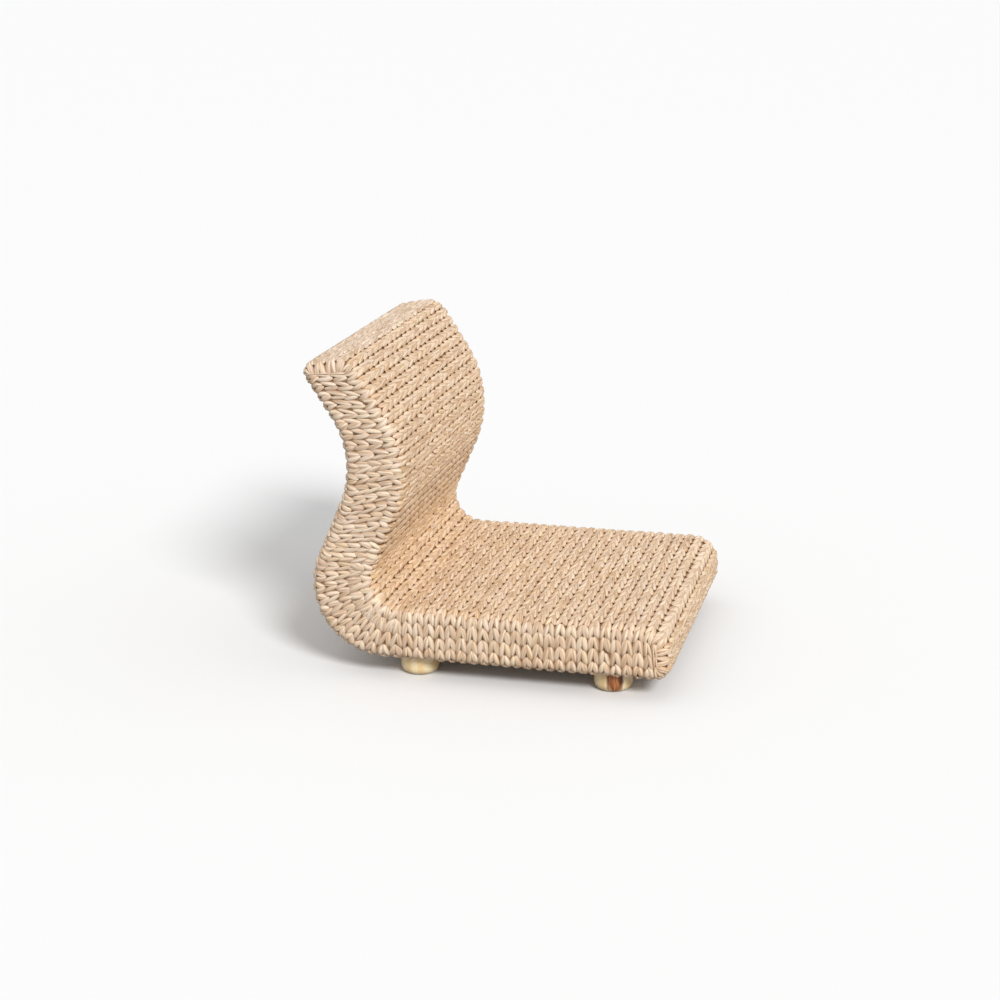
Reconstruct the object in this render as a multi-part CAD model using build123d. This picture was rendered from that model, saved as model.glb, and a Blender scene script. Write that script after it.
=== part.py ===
# Woven floor chair: an S-shaped timber carcass under a straw weave, on four turned feet.
# Sizes are in millimetres. X runs across the chair, the sitter faces -Y, Z is up from the floor.
# The side profile is drawn from the front face of the seat and centred on Y when it is exported.
import os
from math import copysign, cos, hypot, radians, sin, tan

from build123d import *

# Overall form
chair_width = 420.0
foot_height = 26.0
seat_thickness = 66.0
seat_length = 395.5
back_thickness = 79.0
lumbar_rise = 188.5
back_rise = 318.5
lower_lean = radians(23.2)
upper_lean = radians(33.4)
top_slope = radians(11.5)

# Roundings of the side profile and of its long edges
nose_top_radius = 34.0
nose_bottom_radius = 20.0
heel_radius = 92.0
lumbar_front_radius = 150.0
lumbar_rear_radius = 116.0
crook_radius = 38.0
top_front_radius = 30.0
top_rear_radius = 14.0
side_edge_radius = 13.0

# Weave
weave_thickness = 9.0
weave_gap = 0.3

# Timber carcass
board_thickness = 18.0
slat_width = 42.0
slat_thickness = 11.0
slat_gap = 12.0
seat_slat_count = 6
back_slat_count = 5
batten_width = 36.0
rail_depth = 22.0
heel_rail_width = 60.0
foot_rail_width = 60.0
foot_rail_thickness = 16.0
joint_gap = 0.15

# Feet and where they stand
foot_top_diameter = 50.0
foot_base_diameter = 47.0
foot_base_radius = 10.0
foot_top_chamfer = 1.5
foot_side_inset = 42.0
foot_front_setback = 76.5
foot_crook_setback = 70.0

# Fasteners
screw_diameter = 4.0
screw_head_diameter = 8.0
screw_sink = 0.6
screw_bite = 9.0
rail_screw_spacing = 36.0
end_screw_bite = 12.0
bolt_diameter = 8.0
bolt_foot_depth = 15.0
bolt_stand_out = 3.0
tee_flange_diameter = 22.0
tee_flange_thickness = 1.6
tee_barrel_diameter = 10.0
tee_barrel_length = 10.0
fastener_gap = 0.15
cover_hole_gap = 0.5

# Worked out from the sizes above
seat_top = foot_height + seat_thickness
frame_inset = weave_thickness + weave_gap
frame_width = chair_width - 2 * frame_inset
board_centre = frame_width / 2 - board_thickness / 2
foot_x = chair_width / 2 - foot_side_inset
foot_ys = {"front": foot_front_setback, "rear": seat_length - foot_crook_setback}
screw_x = (-board_centre, board_centre)

# The side profile is a polygon with every corner rounded, taken anticlockwise from the front underside
NOSE_LOW, HEEL, LUMBAR_REAR, TOP_REAR, TOP_FRONT, LUMBAR_FRONT, CROOK, NOSE_TOP = range(8)


def profile_corners():
    """The eight corners of the side profile before rounding, as (y, z)."""
    lumbar_z = seat_top + lumbar_rise
    top_z = seat_top + back_rise
    lumbar_front = (seat_length - lumbar_rise * tan(lower_lean), lumbar_z)
    lumbar_rear = (lumbar_front[0] + back_thickness, lumbar_z)
    top_front = (lumbar_front[0] + (back_rise - lumbar_rise) * tan(upper_lean), top_z)
    heel = (lumbar_rear[0] + (lumbar_z - foot_height) * tan(lower_lean), foot_height)
    # the top slopes down from its front edge until it meets the rear of the upper back
    across = back_thickness * cos(upper_lean) / cos(upper_lean - top_slope)
    top_rear = (top_front[0] + across * cos(top_slope), top_z - across * sin(top_slope))
    return [
        (0.0, foot_height),
        heel,
        lumbar_rear,
        top_rear,
        top_front,
        lumbar_front,
        (seat_length, seat_top),
        (0.0, seat_top),
    ]


corners = profile_corners()
corner_radii = [
    nose_bottom_radius,
    heel_radius,
    lumbar_rear_radius,
    top_rear_radius,
    top_front_radius,
    lumbar_front_radius,
    crook_radius,
    nose_top_radius,
]


def profile_face(inset):
    """The rounded side profile, drawn in by inset, as a face at X = 0."""
    face = make_face(Polyline(*[(0, y, z) for y, z in corners], close=True))
    for (y, z), radius in zip(corners, corner_radii):
        vertex = face.vertices().sort_by_distance((0, y, z))[0]
        face = fillet(vertex, radius)
    if inset > 0:
        face = offset(face, amount=-inset)
    return face


def across_chair(face, width):
    """A face of the side view pulled out to a width, half to each side of X = 0."""
    return extrude(face, amount=width / 2, dir=(1, 0, 0), both=True)


def direction(start, end):
    """Unit vector from one (y, z) point to another."""
    length = hypot(end[0] - start[0], end[1] - start[1])
    return ((end[0] - start[0]) / length, (end[1] - start[1]) / length)


def moved(point, along, distance):
    """A (y, z) point moved a distance along a direction."""
    return (point[0] + along[0] * distance, point[1] + along[1] * distance)


def inward(along):
    """The inward normal of an edge of the anticlockwise profile."""
    return (-along[1], along[0])


def edge_station(corner, distance):
    """Point on the carcass outline, and direction, at a distance along the edge after a corner."""
    along = direction(corners[corner], corners[(corner + 1) % len(corners)])
    return moved(moved(corners[corner], along, distance), inward(along), frame_inset), along


def edge_length(corner):
    """Length of the profile edge that starts at a corner, before rounding."""
    start, end = corners[corner], corners[(corner + 1) % len(corners)]
    return hypot(end[0] - start[0], end[1] - start[1])


def tangent_length(corner):
    """How far from a corner its rounding begins."""
    before = direction(corners[corner - 1], corners[corner])
    after = direction(corners[corner], corners[(corner + 1) % len(corners)])
    cosine = before[0] * after[0] + before[1] * after[1]
    sine = abs(before[0] * after[1] - before[1] * after[0])
    return corner_radii[corner] * sine / (1 + cosine)


def rounding_station(corner, distance=0.0):
    """Station on a corner's rounding, at a distance along the carcass outline from its middle."""
    before = direction(corners[corner - 1], corners[corner])
    after = direction(corners[corner], corners[(corner + 1) % len(corners)])
    along = direction((0, 0), (before[0] + after[0], before[1] + after[1]))
    half_turn_cosine = before[0] * along[0] + before[1] * along[1]
    # the rounding's centre lies inside the profile at a full corner and outside it at a hollow one
    sense = copysign(1, before[0] * after[1] - before[1] * after[0])
    radius = corner_radii[corner] - sense * frame_inset
    centre = moved(corners[corner], inward(along), sense * corner_radii[corner] / half_turn_cosine)
    turn = sense * distance / radius
    turned = (along[0] * cos(turn) - along[1] * sin(turn), along[0] * sin(turn) + along[1] * cos(turn))
    return moved(centre, inward(turned), -sense * radius), turned


def bar_section(station, width, depth, gap=0.0):
    """Section of a bar let into the outline: a rectangle from outside the outline to a depth."""
    point, along = station
    into = inward(along)
    half = width / 2 + gap
    # far enough out to reach past the outline where the rounding of a hollow corner fills it
    reach = depth + weave_thickness
    rim = moved(point, into, -reach)
    floor = moved(point, into, depth)
    ends = [moved(rim, along, -half), moved(rim, along, half), moved(floor, along, half), moved(floor, along, -half)]
    return make_face(Polyline(*[(0, y, z) for y, z in ends], close=True))


def view_point(x, point):
    """A (y, z) point of the side view as a point in space."""
    return Vector(x, point[0], point[1])


def screw_shape(x, station, length, gap=0.0):
    """A countersunk wood screw sunk square into the outline at a station, or its hole with a gap."""
    point, along = station
    into = inward(along)
    axis = Plane(origin=view_point(x, point), x_dir=(1, 0, 0), z_dir=(0, into[0], into[1]))
    head_radius = screw_head_diameter / 2 + gap
    shank_radius = screw_diameter / 2 + gap
    head_depth = screw_sink + head_radius - shank_radius
    tip_length = screw_diameter
    points = [
        (head_radius, screw_sink),
        (shank_radius, head_depth),
        (shank_radius, length - tip_length + gap),
        (0, length + gap),
    ]
    # a hole opens through the outline, the screw itself stays below it
    if gap:
        points = [(0, -screw_sink), (head_radius, -screw_sink)] + points
    else:
        points = [(0, screw_sink)] + points
    outline = Polyline(*points, close=True)
    section = make_face(Plane.XZ * outline)
    return axis * revolve(section, axis=Axis.Z)


# Stations of every bar of the carcass: where it sits on the outline, its width and its depth
first_seat_slat = frame_inset + rail_depth + slat_gap / 2 + slat_width / 2
last_seat_slat = seat_length - tangent_length(CROOK) - slat_width / 2
seat_slat_pitch = (last_seat_slat - first_seat_slat) / (seat_slat_count - 1)
lumbar_half_arc = (lumbar_front_radius - frame_inset) * (lower_lean + upper_lean) / 2
upper_back_run = edge_length(TOP_FRONT) - tangent_length(LUMBAR_FRONT) - frame_inset - rail_depth
lower_back_run = edge_length(LUMBAR_FRONT) - tangent_length(LUMBAR_FRONT) - tangent_length(CROOK)
back_run = upper_back_run + 2 * lumbar_half_arc + lower_back_run
back_slat_gap = (back_run - back_slat_count * slat_width) / (back_slat_count + 1)
back_slat_pitch = slat_width + back_slat_gap


def back_station(distance):
    """Station on the front of the back, at a distance down (+) or up (-) from the lumbar bulge."""
    if abs(distance) <= lumbar_half_arc:
        return rounding_station(LUMBAR_FRONT, distance)
    from_corner = tangent_length(LUMBAR_FRONT) + abs(distance) - lumbar_half_arc
    if distance > 0:
        return edge_station(LUMBAR_FRONT, from_corner)
    return edge_station(TOP_FRONT, edge_length(TOP_FRONT) - from_corner)


slat_stations = {}
for count in range(seat_slat_count):
    seat_y = first_seat_slat + count * seat_slat_pitch
    slat_stations[f"seat_slat_{count + 1}"] = edge_station(CROOK, seat_length - seat_y)
for count in range(back_slat_count):
    above_crook = back_slat_pitch * (count + 1) - slat_width / 2
    slat_stations[f"back_slat_{count + 1}"] = back_station(lumbar_half_arc + lower_back_run - above_crook)

rear_low_middle = (tangent_length(HEEL) + edge_length(HEEL) - tangent_length(LUMBAR_REAR)) / 2
batten_stations = {
    "belly_batten": edge_station(NOSE_LOW, (foot_ys["front"] + foot_ys["rear"]) / 2),
    "rear_batten_low": edge_station(HEEL, rear_low_middle),
    "rear_batten_high": rounding_station(LUMBAR_REAR),
}
foot_rail_stations = {f"foot_rail_{end}": edge_station(NOSE_LOW, y) for end, y in foot_ys.items()}
heel_station = rounding_station(HEEL)
end_stations = {
    "nose_rail": edge_station(NOSE_TOP, edge_length(NOSE_TOP) / 2),
    "top_rail": edge_station(TOP_REAR, edge_length(TOP_REAR) / 2),
}

bars = {}
for name, station in slat_stations.items():
    bars[name] = (station, slat_width, slat_thickness)
for name, station in batten_stations.items():
    bars[name] = (station, batten_width, slat_thickness)
for name, station in foot_rail_stations.items():
    bars[name] = (station, foot_rail_width, foot_rail_thickness)
bars["heel_rail"] = (heel_station, heel_rail_width, rail_depth)
bars["nose_rail"] = (end_stations["nose_rail"], 2 * seat_thickness, rail_depth)
bars["top_rail"] = (end_stations["top_rail"], 2 * back_thickness, rail_depth)

# Screws: one at each end of a slat or batten, a pair at each end of a foot rail, long ones in the ends
slat_screw_stations = list(slat_stations.values()) + list(batten_stations.values())
rail_screw_stations = []
for y in foot_ys.values():
    rail_screw_stations.append(edge_station(NOSE_LOW, y - rail_screw_spacing / 2))
    rail_screw_stations.append(edge_station(NOSE_LOW, y + rail_screw_spacing / 2))
long_screw_stations = [heel_station] + list(end_stations.values())
slat_screw_length = slat_thickness + screw_bite
rail_screw_length = foot_rail_thickness + screw_bite
long_screw_length = rail_depth + end_screw_bite


def screw_set(stations, length, gap=0.0):
    """All the screws of one length, or their holes with a gap, at both side boards."""
    return [screw_shape(x, station, length, gap) for station in stations for x in screw_x]


slat_screws = screw_set(slat_screw_stations, slat_screw_length)
rail_screws = screw_set(rail_screw_stations, rail_screw_length)
rail_screws += screw_set(long_screw_stations, long_screw_length)
screw_holes = screw_set(slat_screw_stations, slat_screw_length, fastener_gap)
screw_holes += screw_set(rail_screw_stations, rail_screw_length, fastener_gap)
screw_holes += screw_set(long_screw_stations, long_screw_length, fastener_gap)


def upright(x, y, bottom, height, diameter):
    """A vertical cylinder by its bottom, height and diameter."""
    return Pos(x, y, bottom) * Cylinder(diameter / 2, height, align=(Align.CENTER, Align.CENTER, Align.MIN))


rail_bottom = foot_height + frame_inset
rail_top = rail_bottom + foot_rail_thickness
bolt_bottom = foot_height - bolt_foot_depth
bolt_top = rail_top + tee_flange_thickness + bolt_stand_out
foot_places = [(side * foot_x, y) for y in foot_ys.values() for side in (-1, 1)]


def hanger_bolt(x, y, gap=0.0):
    """The bolt that holds a foot, or its clearance hole."""
    height = bolt_top - bolt_bottom
    return upright(x, y, bolt_bottom - gap, height + gap, bolt_diameter + 2 * gap)


def tee_nut(x, y, gap=0.0):
    """A tee nut let into the foot rail from above, or its seat with a gap; the bore is cut later."""
    flange = upright(x, y, rail_top, tee_flange_thickness, tee_flange_diameter)
    barrel = upright(x, y, rail_top - tee_barrel_length - gap, tee_barrel_length + gap, tee_barrel_diameter + 2 * gap)
    return flange + barrel


def turned_foot(x, y):
    """A turned foot: slightly tapered, round at the floor, with a blind hole for its bolt."""
    top_radius = foot_top_diameter / 2
    base_radius = foot_base_diameter / 2
    outline = Polyline((0, 0), (base_radius, 0), (top_radius, foot_height), (0, foot_height), close=True)
    section = make_face(Plane.XZ * outline)
    low_edge = section.vertices().sort_by_distance((base_radius, 0, 0))[0]
    section = fillet(low_edge, foot_base_radius)
    high_edge = section.vertices().sort_by_distance((top_radius, 0, foot_height))[0]
    section = chamfer(high_edge, foot_top_chamfer)
    return Pos(x, y, 0) * revolve(section, axis=Axis.Z) - hanger_bolt(x, y, fastener_gap)


def woven_cover():
    """The straw cover: the rounded slab, hollow over the carcass, with a hole for each foot bolt."""
    slab = across_chair(profile_face(0), chair_width)
    side_faces = slab.faces().sort_by(Axis.X)
    slab = fillet(side_faces[0].edges() + side_faces[-1].edges(), side_edge_radius)
    hollow = across_chair(profile_face(weave_thickness), chair_width - 2 * weave_thickness)
    holes = [hanger_bolt(x, y, cover_hole_gap) for x, y in foot_places]
    return slab - hollow - holes


frame_face = profile_face(frame_inset)


def carcass_bar(name):
    """A bar of the carcass: its section kept inside the outline, full width, drilled for screws."""
    station, width, depth = bars[name]
    section = bar_section(station, width, depth) & frame_face
    solid = across_chair(section, frame_width) - screw_holes
    if name in foot_rail_stations:
        solid -= [hanger_bolt(x, y, cover_hole_gap) for x, y in foot_places]
        solid -= [tee_nut(x, y, fastener_gap) for x, y in foot_places]
    return solid


def side_board(side):
    """An S-shaped side board, notched for every bar and drilled for the screws."""
    face = frame_face - [bar_section(station, width, depth, joint_gap) for station, width, depth in bars.values()]
    board = extrude(face, amount=board_thickness / 2, dir=(1, 0, 0), both=True)
    return Pos(side * board_centre, 0, 0) * board - screw_holes


pieces = {"woven_cover": woven_cover()}
pieces["side_board_right"] = side_board(-1)
pieces["side_board_left"] = side_board(1)
for name in bars:
    pieces[name] = carcass_bar(name)
for end, y in foot_ys.items():
    pieces[f"foot_{end}_right"] = turned_foot(-foot_x, y)
    pieces[f"foot_{end}_left"] = turned_foot(foot_x, y)
pieces["slat_screws"] = Compound(slat_screws)
pieces["rail_screws"] = Compound(rail_screws)
pieces["hanger_bolts"] = Compound([hanger_bolt(x, y) for x, y in foot_places])
pieces["tee_nuts"] = Compound([tee_nut(x, y) - hanger_bolt(x, y, fastener_gap) for x, y in foot_places])

middle_y = pieces["woven_cover"].bounding_box().center().Y
os.makedirs("parts", exist_ok=True)
for name, shape in pieces.items():
    export_step(Pos(0, -middle_y, 0) * shape, f"parts/{name}.step")
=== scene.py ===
"""Woven straw floor chair: the weave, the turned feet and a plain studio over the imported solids.

Sizes of the weave and of its profile are in millimetres, as in the part's source. All else is in metres.
"""
import logging
import math
from dataclasses import dataclass, field
from enum import Enum, IntEnum

import bpy
import numpy as np
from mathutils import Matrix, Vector


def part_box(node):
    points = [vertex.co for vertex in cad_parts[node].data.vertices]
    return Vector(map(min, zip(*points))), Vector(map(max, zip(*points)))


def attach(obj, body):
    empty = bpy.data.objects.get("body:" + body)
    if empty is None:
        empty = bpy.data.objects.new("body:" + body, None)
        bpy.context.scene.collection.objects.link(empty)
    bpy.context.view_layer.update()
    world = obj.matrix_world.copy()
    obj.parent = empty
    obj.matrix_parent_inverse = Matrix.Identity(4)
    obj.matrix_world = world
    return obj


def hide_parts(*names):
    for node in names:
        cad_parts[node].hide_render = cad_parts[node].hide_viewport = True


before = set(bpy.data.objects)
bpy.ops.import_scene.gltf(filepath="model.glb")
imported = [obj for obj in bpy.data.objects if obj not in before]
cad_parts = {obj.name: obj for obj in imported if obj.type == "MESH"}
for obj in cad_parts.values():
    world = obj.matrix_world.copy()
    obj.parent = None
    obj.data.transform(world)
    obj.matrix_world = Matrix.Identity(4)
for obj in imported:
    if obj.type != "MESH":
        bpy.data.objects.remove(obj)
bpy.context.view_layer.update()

logging.basicConfig(level=logging.INFO, format="%(message)s")
log = logging.getLogger("chair")

Material = bpy.types.Material
Node = bpy.types.Node
Piece = bpy.types.Object
Socket = bpy.types.NodeSocket
Colour = tuple[float, float, float, float]
Stops = tuple[tuple[float, Colour], ...]

MM = 0.001
BODY = "root"


class Corner(IntEnum):
    """Corners of the side profile, anticlockwise from the front underside."""

    NOSE_LOW = 0
    HEEL = 1
    LUMBAR_REAR = 2
    TOP_REAR = 3
    TOP_FRONT = 4
    LUMBAR_FRONT = 5
    CROOK = 6
    NOSE_TOP = 7


class Side(IntEnum):
    """Sides of the chair by the sign of X: the sitter's right is at -X."""

    RIGHT = -1
    LEFT = 1


class Lay(IntEnum):
    """Which way along X the heads of a row's stitches lie."""

    TOWARDS_RIGHT = -1
    TOWARDS_LEFT = 1


class Slot(Enum):
    """Material slots of the record."""

    STRAW = "straw"
    PINE = "pine"
    PLYWOOD = "plywood"
    TIMBER = "timber"
    STEEL = "steel"


class Blend(Enum):
    """Ways to lay one colour over another."""

    COVER = "MIX"
    DARKEN = "MULTIPLY"


def srgb(red: float, green: float, blue: float) -> Colour:
    """Turn a colour written as it looks on screen into the linear one that a shader takes.

    Args:
        red, green, blue: screen values from 0 to 255.

    Returns:
        The linear colour with full alpha.
    """
    linear = []
    for value in (red, green, blue):
        share = value / 255.0
        linear.append(share / 12.92 if share <= 0.04045 else ((share + 0.055) / 1.055) ** 2.4)
    return (linear[0], linear[1], linear[2], 1.0)


BLACK = srgb(0, 0, 0)
WHITE = srgb(255, 255, 255)


def deselect_all() -> None:
    """Leave edit mode and select nothing."""
    if bpy.context.object and bpy.context.object.mode != "OBJECT":
        bpy.ops.object.mode_set(mode="OBJECT")
    bpy.ops.object.select_all(action="DESELECT")


class NodeSheet:
    """A material's node tree, with short calls to add and join nodes."""

    def __init__(self, name: str) -> None:
        """Start a material with one principled shader.

        Args:
            name: the material's name.
        """
        self.material = bpy.data.materials.new(name)
        self.material.use_nodes = True
        self.tree = self.material.node_tree
        self.shader = self.tree.nodes["Principled BSDF"]

    def fill(self, node: Node, inputs: dict) -> None:
        """Set the inputs of a node.

        Args:
            node: the node.
            inputs: a value, or a socket to link, for each input by its name or number.
        """
        for key, value in inputs.items():
            if isinstance(value, Socket):
                self.tree.links.new(value, node.inputs[key])
            else:
                node.inputs[key].default_value = value

    def add(self, kind: str, inputs: dict, **settings: str) -> Node:
        """Add a node.

        Args:
            kind: the node's type name, less the part that all of them share.
            inputs: a value, or a socket to link, for each input by its name or number.
            settings: properties of the node by name.

        Returns:
            The new node.
        """
        node = self.tree.nodes.new(f"ShaderNode{kind}")
        for key, value in settings.items():
            setattr(node, key, value)
        self.fill(node, inputs)
        return node

    def place(self) -> Socket:
        """Add the object's own coordinates."""
        return self.add("TexCoord", {}).outputs["Object"]

    def ramp(self, factor: Socket, stops: Stops) -> Socket:
        """Add a colour ramp.

        Args:
            factor: the socket that drives it.
            stops: positions and colours, in order.

        Returns:
            The ramp's colour socket.
        """
        node = self.add("ValToRGB", {"Fac": factor})
        points = node.color_ramp.elements
        while len(points) < len(stops):
            points.new(0.5)
        for point, (position, colour) in zip(points, stops):
            point.position = position
            point.color = colour
        return node.outputs["Color"]

    def mix(self, first: Socket, second: Socket, share: float | Socket,
            blend: Blend = Blend.DARKEN) -> Socket:
        """Lay a second colour over a first one, by a share that is a number or a socket."""
        inputs = {"Factor": share, "A": first, "B": second}
        return self.add("Mix", inputs, data_type="RGBA", blend_type=blend.value).outputs["Result"]

    def noise(self, place: Socket, scale: tuple, detail: float, turn: float = 0.0) -> Socket:
        """Add noise drawn out along an axis.

        Args:
            place: socket with the coordinates.
            scale: repeats along each axis.
            detail: how fine the noise goes.
            turn: angle of the axes about the third one.

        Returns:
            The noise's socket.
        """
        stretch = self.add("Mapping", {"Vector": place, "Rotation": (0.0, 0.0, turn), "Scale": scale})
        cloud = {"Vector": stretch.outputs["Vector"], "Scale": 1.0, "Detail": detail}
        return self.add("TexNoise", cloud).outputs["Fac"]

    def bump(self, height: Socket, strength: float, depth: float) -> None:
        """Raise the shader's surface by a height, with a strength and a depth in metres."""
        node = self.add("Bump", {"Height": height, "Strength": strength, "Distance": depth})
        self.fill(self.shader, {"Normal": node.outputs["Normal"]})


@dataclass(frozen=True)
class StrawFinish:
    """Dry straw strands: a tone for each strand, fine fibres along it, and painted shade that darkens
    tails, sides and grooves.
    """

    name: str = "dry_straw"
    tones: Stops = (
        (0.00, srgb(232, 209, 184)),
        (0.25, srgb(244, 224, 202)),
        (0.50, srgb(247, 227, 207)),
        (0.75, srgb(248, 230, 204)),
        (1.00, srgb(253, 242, 226)),
    )
    strand_groove: Stops = ((0.36, srgb(192, 166, 136)), (0.60, WHITE))
    strand_scale: tuple = (3.0, 0.55, 1.0)
    strand_detail: float = 1.5
    strand_share: float = 0.7
    fibre_groove: Stops = ((0.34, srgb(216, 200, 178)), (0.62, WHITE))
    fibre_scale: tuple = (11.0, 1.2, 1.0)
    fibre_detail: float = 3.0
    fibre_share: float = 0.5
    fibre_height: float = 0.35
    # Painted shade: the dark colour that stitch tails, sides and row grooves are painted towards.
    painted_shade: Stops = ((0.30, srgb(146, 108, 74)), (0.85, WHITE))
    warmth: Stops = ((0.0, srgb(250, 252, 255)), (1.0, srgb(255, 238, 206)))
    twist: float = math.radians(9)
    strength: float = 0.6
    relief: float = 0.0011
    roughness: float = 0.62
    gloss: float = 0.3

    def make(self) -> Material:
        """Build the material.

        Returns:
            The straw material, which reads the strand attribute and the fibre UV map of the weave.
        """
        sheet = NodeSheet(self.name)
        strand = sheet.add("Attribute", {}, attribute_name="strand")
        parts = sheet.add("SeparateColor", {"Color": strand.outputs["Color"]}).outputs
        fibre_map = sheet.add("UVMap", {}, uv_map="fibre").outputs["UV"]
        strands = sheet.noise(fibre_map, self.strand_scale, self.strand_detail, self.twist)
        fibres = sheet.noise(fibre_map, self.fibre_scale, self.fibre_detail, self.twist)
        # The strand attribute's green drives the painted shade, and the painted highlight on the sides'
        # upper rim.
        layers = (
            (strands, self.strand_groove, self.strand_share),
            (fibres, self.fibre_groove, self.fibre_share),
            (parts["Green"], self.painted_shade, 1.0),
            (parts["Blue"], self.warmth, 1.0),
        )
        coloured = sheet.ramp(parts["Red"], self.tones)
        for driver, stops, share in layers:
            coloured = sheet.mix(coloured, sheet.ramp(driver, stops), share)
        surface = {"Base Color": coloured, "Roughness": self.roughness, "Specular IOR Level": self.gloss}
        sheet.fill(sheet.shader, surface)
        height = sheet.add("Math", {0: fibres, 1: self.fibre_height, 2: strands}, operation="MULTIPLY_ADD")
        sheet.bump(height.outputs["Value"], self.strength, self.relief)
        return sheet.material


@dataclass(frozen=True)
class WarpBedFinish:
    """The warp cords under the stitches, seen in the small holes, their dark brown partly painted shade.
    """

    name: str = "warp_bed"
    dark: Colour = srgb(122, 86, 56)
    light: Colour = srgb(166, 128, 90)
    cord_scale: float = 20.0
    cord_wobble: float = 1.5
    strength: float = 0.4
    relief: float = 0.001
    roughness: float = 0.85

    def make(self) -> Material:
        """Build the material.

        Returns:
            A dark brown straw material with cords along the chair.
        """
        sheet = NodeSheet(self.name)
        waves = {"Vector": sheet.place(), "Scale": self.cord_scale, "Distortion": self.cord_wobble}
        cords = sheet.add("TexWave", waves, bands_direction="X").outputs["Fac"]
        straw = sheet.ramp(cords, ((0.1, self.dark), (0.95, self.light)))
        sheet.fill(sheet.shader, {"Base Color": straw, "Roughness": self.roughness})
        sheet.bump(cords, self.strength, self.relief)
        return sheet.material


@dataclass(frozen=True)
class PineFinish:
    """Pale turned pine: faint growth rings, fine grain and a brown knot in the front right foot.

    Each rim of the knot has an offset along the face, half sizes and how dark it is.
    """

    name: str = "turned_pine"
    ring_tones: Stops = ((0.2, srgb(254, 236, 196)), (0.95, srgb(244, 214, 162)))
    ring_turn: tuple = (math.radians(8), math.radians(78), math.radians(14))
    ring_centre: tuple = (0.013, 0.02, 0.031)
    ring_scale: float = 20.0
    ring_wobble: float = 2.0
    ring_detail: float = 2.0
    ring_detail_scale: float = 1.4
    grain_tones: Stops = ((0.35, srgb(238, 222, 194)), (0.6, WHITE))
    grain_scale: tuple = (90.0, 700.0, 700.0)
    grain_detail: float = 4.0
    grain_share: float = 0.6
    knot_tones: Stops = ((0.36, srgb(128, 72, 36)), (0.58, srgb(192, 126, 74)))
    knot_fade: Stops = ((0.0, BLACK), (0.35, WHITE))
    knot_scale: tuple = (60.0, 420.0, 40.0)
    knot_detail: float = 2.0
    knot_foot: str = "foot_front_right"
    knot_height: float = 0.022
    knot_turn: float = math.radians(10.5)
    knot_reach: float = 0.0245
    knot_offset: float = 0.002
    knot_size: tuple = (0.012, 0.0122, 0.031)
    rim_tones: Stops = ((0.0, WHITE), (0.7, srgb(104, 58, 32)))
    front_rim: tuple = (0.0092, (0.012, 0.0038, 0.032), 1.0)
    rear_rim: tuple = (-0.0066, (0.012, 0.0024, 0.032), 0.7)
    warp_scale: float = 90.0
    warp_detail: float = 1.0
    warp_reach: float = 0.005
    strength: float = 0.12
    relief: float = 0.0004
    roughness: float = 0.5

    def make(self) -> Material:
        """Build the material.

        Returns:
            The pine material of the feet.
        """
        sheet = NodeSheet(self.name)
        place = sheet.place()
        turned = {"Vector": place, "Rotation": self.ring_turn, "Location": self.ring_centre}
        waves = {
            "Vector": sheet.add("Mapping", turned).outputs["Vector"],
            "Scale": self.ring_scale,
            "Distortion": self.ring_wobble,
            "Detail": self.ring_detail,
            "Detail Scale": self.ring_detail_scale,
        }
        rings = sheet.add("TexWave", waves, wave_type="RINGS", rings_direction="Z").outputs["Fac"]
        grain = sheet.noise(place, self.grain_scale, self.grain_detail)
        lines = sheet.ramp(grain, self.grain_tones)
        coloured = sheet.mix(sheet.ramp(rings, self.ring_tones), lines, self.grain_share)
        warped = self.warp(sheet, place)
        heart = self.patch(sheet, warped, self.knot_offset, self.knot_size)
        core = sheet.ramp(sheet.noise(warped, self.knot_scale, self.knot_detail), self.knot_tones)
        coloured = sheet.mix(coloured, core, sheet.ramp(heart, self.knot_fade), Blend.COVER)
        for offset, size, share in (self.front_rim, self.rear_rim):
            edge = self.patch(sheet, warped, offset, size)
            coloured = sheet.mix(coloured, sheet.ramp(edge, self.rim_tones), share)
        sheet.fill(sheet.shader, {"Base Color": coloured, "Roughness": self.roughness})
        sheet.bump(grain, self.strength, self.relief)
        return sheet.material

    def warp(self, sheet: NodeSheet, place: Socket) -> Socket:
        """Bend coordinates a little, so that a patch gets an uneven outline.

        Args:
            sheet: the material's node tree.
            place: socket with the object's coordinates.

        Returns:
            A socket with the bent coordinates.
        """
        noise = {"Vector": place, "Scale": self.warp_scale, "Detail": self.warp_detail}
        cloud = sheet.add("TexNoise", noise).outputs["Color"]
        centred = sheet.add("VectorMath", {0: cloud, 1: (0.5, 0.5, 0.5)}, operation="SUBTRACT")
        bent = {0: centred.outputs["Vector"], 1: (self.warp_reach,) * 3, 2: place}
        return sheet.add("VectorMath", bent, operation="MULTIPLY_ADD").outputs["Vector"]

    def patch(self, sheet: NodeSheet, place: Socket, offset: float, size: tuple) -> Socket:
        """A soft upright patch on the outer face of the knotty foot.

        Args:
            sheet: the material's node tree.
            place: socket with the object's coordinates.
            offset: how far the patch lies to the front of the face's middle, in metres.
            size: half sizes out of the face, along it and upright, in metres.

        Returns:
            A socket that runs from 0 at the patch's rim to 1 at its middle.
        """
        low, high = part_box(self.knot_foot)
        foot = (low + high) / 2
        cosine, sine = math.cos(self.knot_turn), math.sin(self.knot_turn)
        centre = (
            foot.x - self.knot_reach * cosine + offset * sine,
            foot.y - self.knot_reach * sine - offset * cosine,
            self.knot_height,
        )
        turn = (0.0, 0.0, self.knot_turn)
        inputs = {"Vector": place, "Location": centre, "Rotation": turn, "Scale": size}
        spot = sheet.add("Mapping", inputs, vector_type="TEXTURE").outputs["Vector"]
        return sheet.add("TexGradient", {"Vector": spot}, gradient_type="SPHERICAL").outputs["Fac"]


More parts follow.
